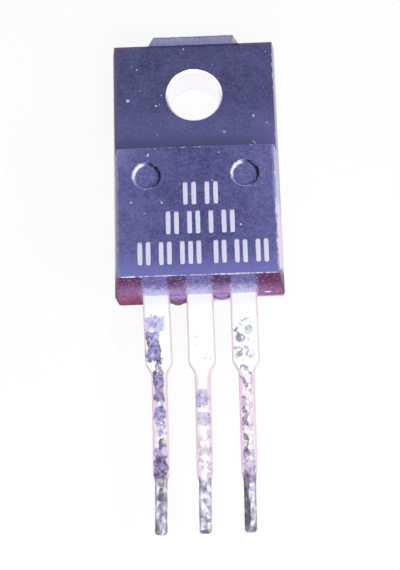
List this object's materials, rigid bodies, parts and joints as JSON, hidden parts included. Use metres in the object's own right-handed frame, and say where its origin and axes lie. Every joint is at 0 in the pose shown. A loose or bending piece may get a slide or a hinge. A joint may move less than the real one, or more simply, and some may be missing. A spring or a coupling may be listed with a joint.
{
  "type": "power transistor",
  "caption": "Isolated power transistor: moulded epoxy body with a mounting hole, stepped front, exposed tab and straight flat leads.",
  "frame": {"origin": "on the axis of the mounting hole, at the flat mounting base on which the part lies", "axes": "+Z out of the stepped, marked front face; +Y towards the exposed tab, so the leads point along -Y; +X to the right seen from the front with the leads down"},
  "size_m": [0.0098, 0.0306, 0.0042],
  "materials": {
    "epoxy": "satin",
    "tinned_copper": "satin",
    "silicon": "gloss",
    "solder": "satin",
    "aluminium_wire": "satin"
  },
  "bodies": {
    "root": {"body_moulding": "epoxy", "collector_frame": "tinned_copper", "base_lead": "tinned_copper", "emitter_lead": "tinned_copper", "silicon_die": "silicon", "die_solder": "solder", "base_bond_wire": "aluminium_wire", "emitter_bond_wire": "aluminium_wire"}
  },
  "joints": []
}
